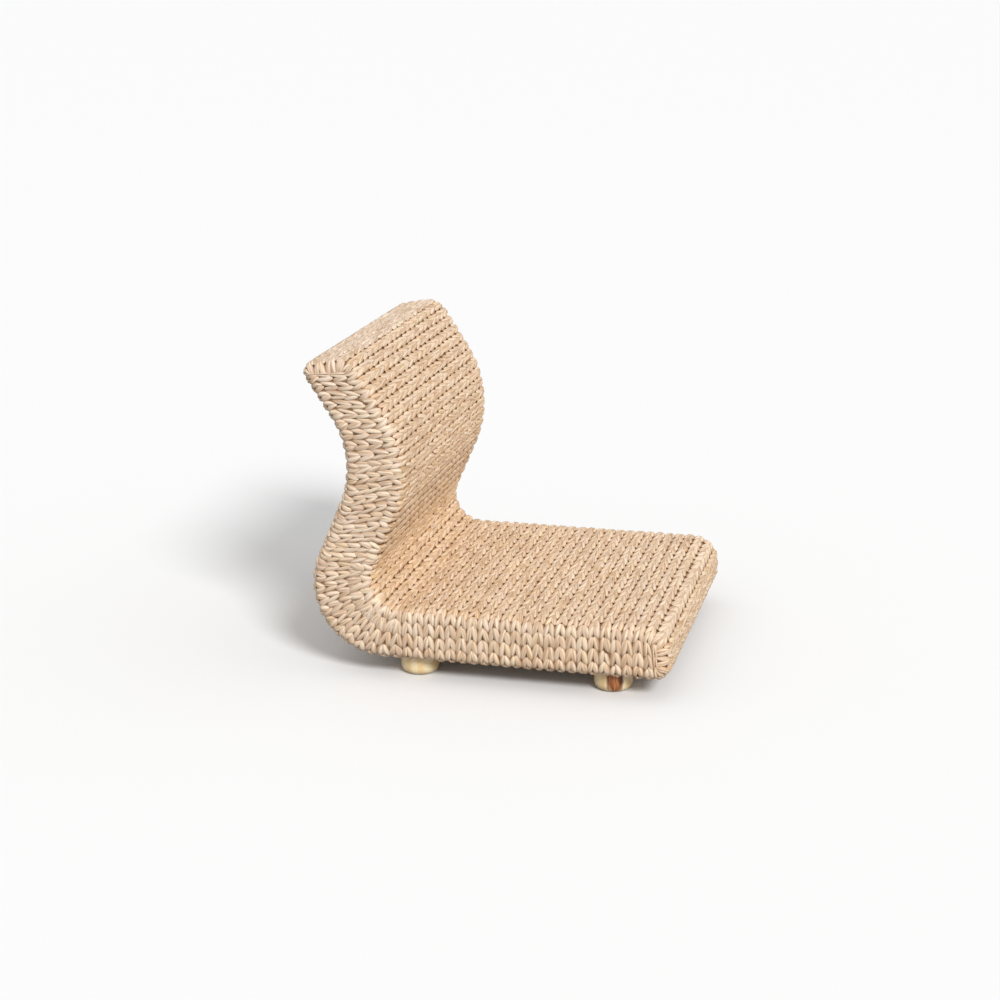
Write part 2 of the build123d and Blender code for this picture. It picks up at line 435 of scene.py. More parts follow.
@dataclass(frozen=True)
class CarcassFinish:
    """Plain sawn wood of the hidden carcass."""

    name: str
    pale: Colour
    dark: Colour
    grain_scale: tuple = (40.0, 600.0, 600.0)
    grain_detail: float = 4.0
    strength: float = 0.2
    relief: float = 0.0006
    roughness: float = 0.7

    def make(self) -> Material:
        """Build the material.

        Returns:
            A wood material with grain across the chair.
        """
        sheet = NodeSheet(self.name)
        grain = sheet.noise(sheet.place(), self.grain_scale, self.grain_detail)
        wood = sheet.ramp(grain, ((0.3, self.dark), (0.7, self.pale)))
        sheet.fill(sheet.shader, {"Base Color": wood, "Roughness": self.roughness})
        sheet.bump(grain, self.strength, self.relief)
        return sheet.material


@dataclass(frozen=True)
class ZincFinish:
    """Zinc plated steel of screws, bolts and nuts."""

    name: str = "zinc_plate"
    greys: Stops = ((0.3, srgb(150, 152, 156)), (0.7, srgb(186, 188, 190)))
    spangle_scale: tuple = (220.0, 220.0, 220.0)
    spangle_detail: float = 2.0
    roughness: float = 0.38

    def make(self) -> Material:
        """Build the material.

        Returns:
            A spangled grey metal.
        """
        sheet = NodeSheet(self.name)
        spangle = sheet.noise(sheet.place(), self.spangle_scale, self.spangle_detail)
        grey = sheet.ramp(spangle, self.greys)
        sheet.fill(sheet.shader, {"Base Color": grey, "Metallic": 1.0, "Roughness": self.roughness})
        return sheet.material


@dataclass
class ChairProfile:
    """The rounded side profile that the weave follows, from the same sizes as the part's source.

    Radii are in the order of the corners. An arc has steps of arc_step, and at least arc_steps of them.
    """

    width: float = 420.0
    foot_height: float = 26.0
    seat_thickness: float = 66.0
    seat_length: float = 395.5
    back_thickness: float = 79.0
    lumbar_rise: float = 188.5
    back_rise: float = 318.5
    lower_lean: float = math.radians(23.2)
    upper_lean: float = math.radians(33.4)
    top_slope: float = math.radians(11.5)
    edge_radius: float = 13.0
    radii: tuple = (20.0, 92.0, 116.0, 14.0, 30.0, 150.0, 38.0, 34.0)
    arc_step: float = 1.5
    arc_steps: int = 6
    search_steps: int = 600
    points: np.ndarray = field(init=False)
    places: np.ndarray = field(init=False)
    outward: np.ndarray = field(init=False)
    round_start: list[float] = field(init=False)
    round_end: list[float] = field(init=False)

    def __post_init__(self) -> None:
        """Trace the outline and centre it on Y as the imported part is."""
        self.trace()
        self.points[:, 0] -= (self.points[:, 0].min() + self.points[:, 0].max()) / 2

    @property
    def length(self) -> float:
        """Length once round the outline."""
        return float(self.places[-1])

    @property
    def flat_half(self) -> float:
        """Half the width of the flat between the rounded long edges."""
        return self.width / 2 - self.edge_radius

    @property
    def top_outward(self) -> tuple[float, float]:
        """Outward direction of the sloping top end."""
        return (math.sin(self.top_slope), math.cos(self.top_slope))

    def corners(self) -> np.ndarray:
        """The eight corners before rounding.

        Returns:
            An array of (y, z), with Y from the front of the seat.
        """
        seat_top = self.foot_height + self.seat_thickness
        lumbar_z = seat_top + self.lumbar_rise
        top_z = seat_top + self.back_rise
        lumbar_y = self.seat_length - self.lumbar_rise * math.tan(self.lower_lean)
        top_y = lumbar_y + (self.back_rise - self.lumbar_rise) * math.tan(self.upper_lean)
        rear_y = lumbar_y + self.back_thickness
        heel_y = rear_y + (lumbar_z - self.foot_height) * math.tan(self.lower_lean)
        tilt = self.upper_lean - self.top_slope
        across = self.back_thickness * math.cos(self.upper_lean) / math.cos(tilt)
        top_rear = (top_y + across * math.cos(self.top_slope), top_z - across * math.sin(self.top_slope))
        return np.array([
            (0.0, self.foot_height), (heel_y, self.foot_height), (rear_y, lumbar_z), top_rear,
            (top_y, top_z), (lumbar_y, lumbar_z), (self.seat_length, seat_top), (0.0, seat_top),
        ])

    def trace(self) -> None:
        """Round every corner and keep the outline's points, places along it and outward normals."""
        corners = self.corners()
        points: list[np.ndarray] = []
        normals: list[np.ndarray] = []
        marks: list[tuple[int, int]] = []
        for number, corner in enumerate(corners):
            before = corner - corners[number - 1]
            after = corners[(number + 1) % len(corners)] - corner
            before = before / np.linalg.norm(before)
            after = after / np.linalg.norm(after)
            cross = before[0] * after[1] - before[1] * after[0]
            turn = math.atan2(cross, float(before @ after))
            radius = self.radii[number]
            start = corner - before * radius * math.tan(abs(turn) / 2)
            steps = max(self.arc_steps, int(abs(turn) * radius / self.arc_step))
            side = math.copysign(1.0, turn)
            centre = start + side * radius * np.array([-before[1], before[0]])
            first = len(points)
            for step in range(steps + 1):
                angle = math.atan2(before[1], before[0]) + turn * step / steps
                normal = np.array([math.sin(angle), -math.cos(angle)])
                points.append(centre + side * radius * normal)
                normals.append(normal)
            marks.append((first, len(points) - 1))
        points.append(points[0])
        normals.append(normals[0])
        self.points = np.array(points)
        self.outward = np.array(normals)
        runs = np.linalg.norm(np.diff(self.points, axis=0), axis=1)
        self.places = np.concatenate([[0.0], np.cumsum(runs)])
        self.round_start = [float(self.places[first]) for first, _ in marks]
        self.round_end = [float(self.places[last]) for _, last in marks]

    def at(self, place: np.ndarray) -> tuple[np.ndarray, np.ndarray]:
        """Points and outward normals of the outline.

        Args:
            place: distances along the outline, of any shape.

        Returns:
            Arrays of (y, z) points and (y, z) normals with one more dimension.
        """
        wrapped = np.mod(place, self.length)
        point, normal = (
            np.stack([np.interp(wrapped, self.places, column) for column in table.T], axis=-1)
            for table in (self.points, self.outward)
        )
        return point, normal / np.linalg.norm(normal, axis=-1, keepdims=True)

    def place_inside(self, outward: tuple[float, float], depth: np.ndarray,
                     span: tuple[float, float]) -> np.ndarray:
        """Places on a stretch of the outline that lie at given depths behind an end of the slab.

        Args:
            outward: (y, z) direction in which the end faces.
            depth: distances behind the end.
            span: first and last place of the stretch.

        Returns:
            One place for each depth.
        """
        places = np.linspace(span[0], span[1], self.search_steps)
        facing = np.array(outward)
        behind = (self.points @ facing).max() - self.at(places)[0] @ facing
        order = np.argsort(behind)
        return np.interp(depth, behind[order], places[order])

    def skin(self, place: np.ndarray, across: np.ndarray, height: np.ndarray) -> np.ndarray:
        """Points on or above the slab's skin, over its rounded long edges and on to its sides.

        Args:
            place: distances along the outline.
            across: distances along the skin from the middle of the chair, + to the sitter's left.
            height: heights over the skin.

        Returns:
            Array of (x, y, z) in millimetres.
        """
        point, normal = self.at(place)
        past = np.abs(across) - self.flat_half
        quarter = math.pi / 2
        angle = np.clip(past / self.edge_radius, 0.0, quarter)
        down = np.maximum(past - self.edge_radius * quarter, 0.0)
        reach = np.minimum(np.abs(across), self.flat_half) + (self.edge_radius + height) * np.sin(angle)
        sunk = self.edge_radius * (1 - np.cos(angle)) + down - height * np.cos(angle)
        flat = point - normal * sunk[..., None]
        return np.stack([np.sign(across) * reach, flat[..., 0], flat[..., 1]], axis=-1)


def hang(piece: Piece) -> Piece:
    """Hang a piece of the cover on the chair in place of the plain solid.

    Args:
        piece: the piece.

    Returns:
        The same piece.
    """
    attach(piece, BODY)
    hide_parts("woven_cover")
    return piece


@dataclass
class WarpBed:
    """The bed of warp cords under the stitches, which closes the small holes between them."""

    profile: ChairProfile
    depth: float = 3.5
    step: float = 5.0
    segments: int = 4
    smooth_angle: float = math.radians(40)
    side_facing: float = 0.7

    def model(self) -> Piece:
        """Model the bed: a face in the shape of the profile, extruded across, its long edges rounded.

        Returns:
            The closed bed.
        """
        shape = self.profile
        places = np.arange(0.0, shape.length, self.step)
        point, normal = shape.at(places)
        outline = point - normal * self.depth
        half = shape.width / 2 - self.depth
        mesh = bpy.data.meshes.new("warp_bed")
        corners = [(-half * MM, y * MM, z * MM) for y, z in outline]
        mesh.from_pydata(corners, [], [tuple(range(len(corners)))])
        bed = bpy.data.objects.new("warp_bed", mesh)
        bpy.context.scene.collection.objects.link(bed)
        deselect_all()
        bpy.context.view_layer.objects.active = bed
        bed.select_set(True)
        bpy.ops.object.mode_set(mode="EDIT")
        bpy.ops.mesh.select_all(action="SELECT")
        bpy.ops.mesh.extrude_region_move(TRANSFORM_OT_translate={"value": (2 * half * MM, 0.0, 0.0)})
        bpy.ops.mesh.select_all(action="SELECT")
        bpy.ops.mesh.normals_make_consistent(inside=False)
        bpy.ops.mesh.select_mode(type="EDGE")
        bpy.ops.object.mode_set(mode="OBJECT")
        for edge in bed.data.edges:
            ends = [bed.data.vertices[index].co.x for index in edge.vertices]
            edge.select = abs(ends[0] - ends[1]) < MM
        for face in bed.data.polygons:
            face.select = False
        bpy.ops.object.mode_set(mode="EDIT")
        rounding = (shape.edge_radius - self.depth) * MM
        bpy.ops.mesh.bevel(offset=rounding, segments=self.segments, affect="EDGES")
        bpy.ops.mesh.select_mode(type="VERT")
        bpy.ops.object.mode_set(mode="OBJECT")
        bpy.ops.object.shade_smooth_by_angle(angle=self.smooth_angle)
        return bed

    def build(self, row_bed: Material, side_bed: Material) -> Piece:
        """Make the bed and hang it on the chair.

        Args:
            row_bed: material under the rows.
            side_bed: material of the two sides.

        Returns:
            The bed.
        """
        bed = self.model()
        bed.data.materials.append(row_bed)
        bed.data.materials.append(side_bed)
        # The sides take the lighter copy of the bed, with less painted shade than under the rows.
        for face in bed.data.polygons:
            face.material_index = int(abs(face.normal.x) > self.side_facing)
        return hang(bed)


@dataclass
class Stitch:
    """One leaf-shaped straw stitch, modelled once and copied along every row.

    A band is a stretch of the ball, from -1 at the tail to 1 at the head, and what it is widened by.
    """

    length: float = 23.5
    width: float = 7.6
    thickness: float = 6.2
    segments: int = 8
    rings: int = 6
    bands: tuple = ((0.7, 0.95, 1.22), (0.3, 0.7, 1.08), (-0.7, -0.3, 0.98), (-0.95, -0.7, 0.86))

    def model(self) -> tuple[np.ndarray, list[np.ndarray]]:
        """Model the stitch: a small ball drawn out, blunt at its head and slim at its tail.

        Returns:
            Its vertices in millimetres (across, along, up), and its triangles and quads.
        """
        middle = (0.0, 0.0, 0.0)
        deselect_all()
        bpy.ops.mesh.primitive_uv_sphere_add(segments=self.segments, ring_count=self.rings, radius=1.0)
        ball = bpy.context.object
        bpy.ops.object.mode_set(mode="EDIT")
        bpy.ops.mesh.select_all(action="SELECT")
        bpy.ops.transform.rotate(value=math.pi / 2, orient_axis="X", center_override=middle)
        for low, high, grow in self.bands:
            self.pick(ball, low, high)
            bpy.ops.transform.resize(value=(grow, 1.0, grow), center_override=middle)
        bpy.ops.mesh.select_all(action="SELECT")
        size = (self.width / 2, self.length / 2, self.thickness / 2)
        bpy.ops.transform.resize(value=size, center_override=middle)
        bpy.ops.mesh.normals_make_consistent(inside=False)
        bpy.ops.object.mode_set(mode="OBJECT")
        mesh = ball.data
        vertices = np.array([tuple(vertex.co) for vertex in mesh.vertices])
        faces = [tuple(face.vertices) for face in mesh.polygons]
        bpy.data.objects.remove(ball)
        bpy.data.meshes.remove(mesh)
        return vertices, [np.array([face for face in faces if len(face) == sides]) for sides in (3, 4)]

    @staticmethod
    def pick(ball: Piece, low: float, high: float) -> None:
        """Select the points of the ball whose place along it lies between two values.

        Args:
            ball: the object in edit mode.
            low: lowest Y.
            high: highest Y.
        """
        bpy.ops.mesh.select_all(action="DESELECT")
        bpy.ops.object.mode_set(mode="OBJECT")
        for vertex in ball.data.vertices:
            vertex.select = low < vertex.co.y < high
        bpy.ops.object.mode_set(mode="EDIT")


@dataclass(frozen=True)
class StitchLay:
    """How the two stitches of a pair lie and how they differ from the modelled one.

    A pair takes up pitch along its row. Its stitches lie leg_share of the row's height to each side of the
    row's middle, lean away from it at their tails and hook towards it at their heads. Tilt lifts the head,
    bow sinks both ends (or lifts them, where it is negative) and crown rounds the row off at its edges.
    Wander and jut say how much stitches differ in the flat and in height. The shades are painted shade:
    the light painted at a stitch's tail and along its sides, and how dark the groove between rows is
    painted.
    """

    pitch: float
    leg_share: float
    lean: float
    hook: float
    tilt: float
    bow: float
    width_share: float
    length_share: float
    crown: float
    wander: float
    jut: float
    tail_shade: float
    side_shade: float
    groove_shade: float = 0.0


# tail_shade, side_shade and groove_shade are painted shade.
SEAT_LAY = StitchLay(
    pitch=19.5, leg_share=0.215, lean=math.radians(10.2), hook=0.3, tilt=-0.01, bow=-1.3, width_share=1.06,
    length_share=1.13, crown=1.2, wander=0.9, jut=0.5, tail_shade=0.72, side_shade=0.74)
BACK_LAY = StitchLay(
    pitch=20.5, leg_share=0.22, lean=math.radians(8.5), hook=0.2, tilt=-0.02, bow=-1.3, width_share=1.07,
    length_share=1.18, crown=1.1, wander=1.1, jut=0.4, tail_shade=0.8, side_shade=0.8)
LOWER_LAY = StitchLay(
    pitch=20.5, leg_share=0.19, lean=math.radians(5.6), hook=0.1, tilt=-0.02, bow=-1.3, width_share=1.0,
    length_share=1.23, crown=2.4, wander=0.7, jut=0.2, tail_shade=0.75, side_shade=0.7, groove_shade=0.62)
COLUMN_LAY = StitchLay(
    pitch=16.3, leg_share=0.265, lean=math.radians(10.0), hook=1.1, tilt=0.06, bow=0.8, width_share=1.08,
    length_share=1.0, crown=0.7, wander=1.1, jut=1.2, tail_shade=0.5, side_shade=0.56)
BACK_COLUMN_LAY = StitchLay(
    pitch=16.3, leg_share=0.26, lean=math.radians(10.0), hook=1.0, tilt=0.06, bow=0.7, width_share=1.05,
    length_share=1.03, crown=0.7, wander=1.5, jut=1.1, tail_shade=0.62, side_shade=0.72)


@dataclass(frozen=True)
class StitchSpread:
    """How much stitches differ by chance, at a wander or a jut of 1.

    The phases are the most that a row or a column is shifted, as a share of one pair.
    """

    lean: float = math.radians(2.4)
    roll: float = math.radians(8.0)
    length: float = 0.06
    width: float = 0.07
    lift: float = 0.25
    slide: float = 0.6
    tone: float = 0.12
    warmth: float = 0.08
    row_phase: float = 0.12
    column_phase: float = 0.08
    fibre_shift: float = 40.0


@dataclass(frozen=True)
class StitchShade:
    """How the painted shade runs over a stitch, and the painted highlight on the upper rim of a side.

    Along and crest are the painted light gained from tail to head and from side to crest. The painted
    shade of the groove between rows starts at a share of half a row and is full after its width. The
    painted highlight reaches rim_share of a pair into the side, and there a stitch is painted lighter by
    rim_light and loses rim_pale of its warmth.
    """

    middle_tone: float = 0.5
    along: float = 1.2
    crest: float = 0.65
    groove_start: float = 0.5
    groove_width: float = 0.4
    rim_share: float = 0.9
    rim_light: float = 0.1
    rim_pale: float = 0.6


@dataclass
class StitchPile:
    """Stitches laid so far for one piece of the weave."""

    name: str
    lay: StitchLay
    warmth: float = 0.5
    points: list = field(default_factory=list)
    shades: list = field(default_factory=list)
    turned: list = field(default_factory=list)


@dataclass
class WovenCover:
    """The straw cover: rows of paired stitches across the slab and columns of them on its sides.

    Stitches lie sink deep in the skin. Rows go edge_turn radians round the long edges, and those of the
    nose and the top end_turn. From tuck_run before its ends a row is tucked in, by up to end_tuck.
    Columns lie at least end_inset behind the nose and the top, and get narrower up the back by
    back_grade. Round the heel they narrow towards the crook: below merge_column two are joined into one,
    and below narrow_column the single ones lie under_sink deeper.
    """

    profile: ChairProfile
    stitch: Stitch = field(default_factory=Stitch)
    spread: StitchSpread = StitchSpread()
    shade: StitchShade = StitchShade()
    row_pitch: float = 13.9
    sink: float = 2.1
    under_sink: float = 2.4
    edge_turn: float = 0.6
    end_turn: float = 1.9
    end_inset: float = 4.5
    tuck_run: float = 7.0
    end_tuck: float = 2.0
    seat_columns: int = 24
    heel_columns: int = 12
    back_columns: int = 20
    back_grade: float = 0.09
    least_pairs: int = 3
    columns_per_crook_row: int = 2
    narrow_column: float = 8.6
    merge_column: float = 10.4
    # Warmth of the side columns at the nose. It fades to none at the top, as painted cool light on the
    # upper sides.
    side_warmth: float = 0.35
    seed: int = 7
    chance: np.random.Generator = field(init=False)
    leaf: np.ndarray = field(init=False)
    leaf_faces: list[np.ndarray] = field(init=False)
    upper: np.ndarray = field(init=False)
    lower: np.ndarray = field(init=False)

    def __post_init__(self) -> None:
        """Set up the chance that varies the stitches and model the one that is copied."""
        self.chance = np.random.default_rng(self.seed)
        self.leaf, self.leaf_faces = self.stitch.model()
        self.upper, self.lower = self.column_edges()

    @property
    def bend_start(self) -> int:
        """Number of the first column edge of the heel's fan."""
        return self.seat_columns

    @property
    def bend_end(self) -> int:
        """Number of the last column edge of the heel's fan."""
        return self.seat_columns + self.heel_columns

    def column_edges(self) -> tuple[np.ndarray, np.ndarray]:
        """Edges of the side columns where they meet the upper skin and the lower skin.

        Returns:
            Places along the outline on the upper (seat and back) and lower (underside and rear) skin,
            from the nose to the top.
        """
        shape = self.profile
        start, end = shape.round_start, shape.round_end
        front = (-1.0, 0.0)
        bend_depth = shape.at(np.array(end[Corner.CROOK]))[0][0] - shape.points[:, 0].min()
        depths = np.linspace(self.end_inset, bend_depth, self.seat_columns + 1)
        seat = shape.place_inside(front, depths, (end[Corner.CROOK], end[Corner.NOSE_TOP]))
        belly = shape.place_inside(front, depths, (start[Corner.NOSE_LOW], start[Corner.HEEL]))
        inset = np.array(self.end_inset)
        top_front = (start[Corner.TOP_FRONT], start[Corner.LUMBAR_FRONT])
        top_rear = (end[Corner.LUMBAR_REAR], end[Corner.TOP_REAR])
        upper_end = float(shape.place_inside(shape.top_outward, inset, top_front))
        lower_end = float(shape.place_inside(shape.top_outward, inset, top_rear))
        steps = np.linspace(1 + self.back_grade, 1 - self.back_grade, self.back_columns)
        back = start[Corner.CROOK] + (upper_end - start[Corner.CROOK]) * np.cumsum(steps) / steps.sum()
        crook = np.linspace(seat[-1], start[Corner.CROOK], self.heel_columns + 1)
        heel = np.linspace(belly[-1], end[Corner.HEEL], self.heel_columns + 1)
        rear = np.linspace(end[Corner.HEEL], lower_end, self.back_columns + 1)
        return np.concatenate([seat, crook[1:], back]), np.concatenate([belly, heel[1:], rear[1:]])

    def pairs(self, centres: np.ndarray, lay: StitchLay) -> tuple[np.ndarray, np.ndarray, np.ndarray]:
        """Stitch points of one row: two leaning stitches for each centre, each a little different.

        Args:
            centres: places of the pairs along the row.
            lay: how the stitches of a pair lie.

        Returns:
            For every stitch and vertex: place along the row, offset across it and height.
        """
        places = np.repeat(centres, 2)
        legs = np.tile([-1.0, 1.0], len(centres))
        count = len(places)
        vary = self.chance.normal
        lean = lay.lean + vary(0.0, self.spread.lean * lay.wander, count)
        roll = vary(0.0, self.spread.roll * lay.jut, count)[:, None]
        long = lay.length_share * (1.0 + vary(0.0, self.spread.length * lay.wander, count))
        wide = lay.width_share * (1.0 + vary(0.0, self.spread.width * lay.wander, count))
        lift = vary(0.0, self.spread.lift * lay.jut, count)
        slide = vary(0.0, self.spread.slide * lay.wander, count)
        flat = self.leaf[None, :, 0] * wide[:, None]
        along = self.leaf[None, :, 1] * long[:, None]
        across = flat * np.cos(roll) - self.leaf[None, :, 2] * np.sin(roll)
        up = flat * np.sin(roll) + self.leaf[None, :, 2] * np.cos(roll)
        share = along / (self.stitch.length / 2)
        cosine = np.cos(lean)[:, None]
        sine = (legs * np.sin(lean))[:, None]
        leg = lay.leg_share * self.row_pitch - lay.hook * np.maximum(share, 0.0) ** 2
        row_place = (places + slide)[:, None] + along * cosine + across * sine
        offset = legs[:, None] * leg + across * cosine - along * sine
        dip = lay.bow * share ** 2 + lay.crown * (2 * offset / self.row_pitch) ** 2
        height = up + along * lay.tilt - dip + lift[:, None] - self.sink
        return row_place, offset, height

    def lay_row(self, pile: StitchPile, edges: tuple[float, float], way: Lay, reach: float) -> None:
        """Lay one row of stitches across the slab.

        Args:
            pile: the piece that takes the stitches.
            edges: places along the outline between which the row lies.
            way: which way its stitches point.
            reach: how far from the middle the row goes on each side.
        """
        number = max(1, round(2 * reach / pile.lay.pitch))
        pitch = 2 * reach / number
        phase = self.chance.uniform(-self.spread.row_phase, self.spread.row_phase) * pitch
        place, offset, height = self.pairs((np.arange(number) + 0.5) * pitch - reach + phase, pile.lay)
        share = (edges[1] - edges[0]) / self.row_pitch
        shape = self.profile
        past = np.abs(place) - reach + self.tuck_run
        height = height - self.end_tuck * np.clip(past / shape.edge_radius, 0.0, 1.0)
        points = shape.skin((edges[0] + edges[1]) / 2 + offset * share, place * way, height)
        # Painted shade: the outer flanks of each row are painted darker, along the groove to the next row.
        outer = np.abs(2 * offset / self.row_pitch) - self.shade.groove_start
        groove = np.clip(outer / self.shade.groove_width, 0.0, 1.0)
        self.keep(pile, points, way * share < 0, -pile.lay.groove_shade * groove, np.zeros(2 * number))

    def lay_column(self, pile: StitchPile, number: int, side: Side) -> None:
        """Lay one column of stitches down a side of the slab, joined with the next where they get narrow.

        Args:
            pile: the piece that takes the stitches.
            number: which column, from the nose.
            side: which side of the chair.
        """
        turned = self.profile.edge_radius * (math.pi / 2 - self.edge_turn)
        depth = self.column_depth(number)
        run = depth + 2 * turned
        pile.lay = COLUMN_LAY if number < self.bend_end else BACK_COLUMN_LAY
        count = max(self.least_pairs, round(run / pile.lay.pitch))
        phase = self.chance.uniform(-self.spread.column_phase, self.spread.column_phase)
        centres = (np.arange(count) + 0.5 + phase) * run / count
        rise = centres if side is Side.RIGHT else run - centres
        end_widths = [abs(edges[number + 1] - edges[number]) for edges in (self.lower, self.upper)]
        widths = np.interp(rise / run, [0.0, 1.0], end_widths)
        sunk = np.where(widths < self.narrow_column, self.under_sink, 0.0)
        self.lay_stitches(pile, (number, number + 1), side, centres, (depth, turned), sunk)
        joined = self.columns_per_crook_row
        merged = centres[widths < self.merge_column]
        if len(merged) and (number - self.bend_start) % joined == 0:
            level = np.zeros(len(merged))
            self.lay_stitches(pile, (number, number + joined), side, merged, (depth, turned), level)

    def column_depth(self, number: int) -> float:
        """Straight part of a column between the rounded long edges.

        Args:
            number: which column, from the nose.

        Returns:
            Its length.
        """
        ends = []
        for edges in (self.lower, self.upper):
            point, normal = self.profile.at(np.array(edges[number:number + 2].mean()))
            ends.append(point - normal * self.profile.edge_radius)
        return float(np.linalg.norm(ends[0] - ends[1]))

    def lay_stitches(self, pile: StitchPile, span: tuple[int, int], side: Side, centres: np.ndarray,
                     lengths: tuple[float, float], sunk: np.ndarray) -> None:
        """Lay stitches at given places between two column edges.

        Args:
            pile: the piece that takes the stitches.
            span: numbers of the two column edges.
            side: which side of the chair.
            centres: places of the pairs from the end of the column that they start at.
            lengths: the straight and the turned length of the column.
            sunk: how much deeper than the others each pair lies.
        """
        shape = self.profile
        depth, turned = lengths
        run = depth + 2 * turned
        place, offset, height = self.pairs(centres, pile.lay)
        height = height - np.repeat(sunk, 2)[:, None]
        if side is Side.LEFT:
            place = run - place
        share = offset / self.row_pitch
        ends = []
        for edges, from_end in ((self.lower, place), (self.upper, run - place)):
            first, second = edges[span[0]], edges[span[1]]
            across = shape.flat_half + shape.edge_radius * self.edge_turn + np.minimum(from_end, turned)
            ends.append(shape.skin((first + second) / 2 + share * (second - first), across, height))
        blend = np.clip((place - turned) / depth, 0.0, 1.0)[..., None]
        points = ends[0] * (1 - blend) + ends[1] * blend
        points[..., 0] *= side
        rise = centres if side is Side.RIGHT else run - centres
        # Painted highlight along the upper rim of each side: a lighter tone, painted light and less
        # warmth.
        rim = np.clip((rise - depth - turned) / pile.lay.pitch + self.shade.rim_share, 0.0, 1.0)
        rim = np.repeat(rim, 2)
        self.keep(pile, points, True, self.shade.rim_light * rim[:, None], rim)

    def keep(self, pile: StitchPile, points: np.ndarray, turned: bool, light: np.ndarray,
             rim: np.ndarray) -> None:
        """Add laid stitches to a pile with a tone each and a painted shade along each.

        Args:
            pile: the piece that takes the stitches.
            points: stitch vertices in millimetres.
            turned: whether the laying turned the faces inside out.
            light: how much each vertex is painted lighter than usual: painted highlight on a side's rim,
                painted shade (negative) in the grooves between rows.
            rim: how far each stitch lies in the painted highlight on the upper rim of a side, from 0 to 1.
        """
        count, corners = points.shape[:2]
        shade = np.ones((count, corners, 4))
        tone = self.chance.normal(self.shade.middle_tone, self.spread.tone, count)
        # Red is the stitch's tone, raised on the rim as painted highlight.
        shade[..., 0] = np.clip(tone + self.shade.rim_light * rim, 0.0, 1.0)[:, None]
        # Green is painted shade, darker towards the tail and the sides, plus the painted light passed in.
        along = self.leaf[:, 1] / self.stitch.length + 0.5
        crest = self.leaf[:, 2] / (self.stitch.thickness / 2)
        head_light = pile.lay.tail_shade + self.shade.along * along
        crest_light = pile.lay.side_shade + self.shade.crest * crest
        shade[..., 1] = np.clip(np.minimum(head_light, crest_light)[None, :] + light, 0.0, 1.0)
        # Blue is warmth, paler on the rim as part of the painted highlight.
        warmth = self.chance.normal(pile.warmth, self.spread.warmth, count)
        shade[..., 2] = np.clip(warmth * (1.0 - self.shade.rim_pale * rim), 0.0, 1.0)[:, None]
        pile.points.append(points)
        pile.shades.append(shade)
        pile.turned.append(np.full(count, turned))

    def lay_rows(self, pile: StitchPile, edges: np.ndarray, way: Lay, turn: float,
                 warmth: tuple[float, float]) -> StitchPile:
        """Lay a run of rows between successive edges.

        Args:
            pile: the piece that takes the stitches.
            edges: places of the rows' edges along the outline.
            way: which way the stitches point.
            turn: how far the rows go round the long edges, in radians.
            warmth: warmth of the first and the last row's tone, from 0 to 1.

        Returns:
            The same pile.
        """
        reach = self.profile.flat_half + self.profile.edge_radius * turn
        warmths = np.linspace(warmth[0], warmth[1], len(edges) - 1)
        for first, second, row_warmth in zip(edges[:-1], edges[1:], warmths):
            pile.warmth = row_warmth
            self.lay_row(pile, (float(first), float(second)), way, reach)
        return pile

    def piles(self) -> list[StitchPile]:
        """Lay the whole weave.

        Returns:
            One pile of stitches for each piece of it.
        """
        crook = self.upper[self.bend_start:self.bend_end + 1:self.columns_per_crook_row]
        nose = self.spaced(self.upper[0], self.lower[0] + self.profile.length)
        top = self.spaced(self.upper[-1], self.lower[-1])
        seat = self.upper[:self.bend_start + 1]
        lumbar = self.profile.round_end[Corner.LUMBAR_FRONT]
        back_start = int(np.argmax(self.upper < lumbar))
        lower_back = self.upper[self.bend_end:back_start + 1]
        back = self.upper[back_start:]
        underside = self.lower[:self.bend_start + 1]
        heel = self.lower[self.bend_start:self.bend_end + 1]
        rear = self.lower[self.bend_end:]
        to_left, to_right = Lay.TOWARDS_LEFT, Lay.TOWARDS_RIGHT
        # Row warmth is partly the straw's own tone and partly painted light: warmest on the crook and the
        # lower back as painted warm bounce light.
        # name, lay, edges of the rows, way, turn round the long edges, warmth of first and last row
        runs = (
            ("weave_seat", SEAT_LAY, seat, to_left, self.edge_turn, (0.25, 0.45)),
            ("weave_crook", BACK_LAY, crook, to_left, self.edge_turn, (0.48, 0.62)),
            ("weave_lower_back", LOWER_LAY, lower_back, to_left, self.edge_turn, (0.66, 0.5)),
            ("weave_back", BACK_LAY, back, to_left, self.edge_turn, (0.46, 0.3)),
            ("weave_nose", SEAT_LAY, nose, to_left, self.end_turn, (0.4, 0.4)),
            ("weave_top", BACK_LAY, top, to_left, self.end_turn, (0.05, 0.05)),
            ("weave_underside", SEAT_LAY, underside, to_right, self.edge_turn, (0.4, 0.4)),
            ("weave_heel", SEAT_LAY, heel, to_right, self.edge_turn, (0.35, 0.3)),
            ("weave_rear", BACK_LAY, rear, to_right, self.edge_turn, (0.3, 0.2)),
        )
        laid = [self.lay_rows(StitchPile(name, lay), edges, way, turn, warmth)
                for name, lay, edges, way, turn, warmth in runs]
        columns = len(self.upper) - 1
        for side in Side:
            pile = StitchPile(f"weave_side_{side.name.lower()}", COLUMN_LAY)
            for number in range(columns):
                # Painted cool light: the sides' warmth fades towards the top of the back.
                pile.warmth = self.side_warmth * (1 - number / columns)
                self.lay_column(pile, number, side)
            laid.append(pile)
        return laid

    def spaced(self, start: float, end: float) -> np.ndarray:
        """Edges of evenly spaced rows between two places on the outline."""
        number = max(1, round(abs(end - start) / self.row_pitch))
        return np.linspace(start, end, number + 1)

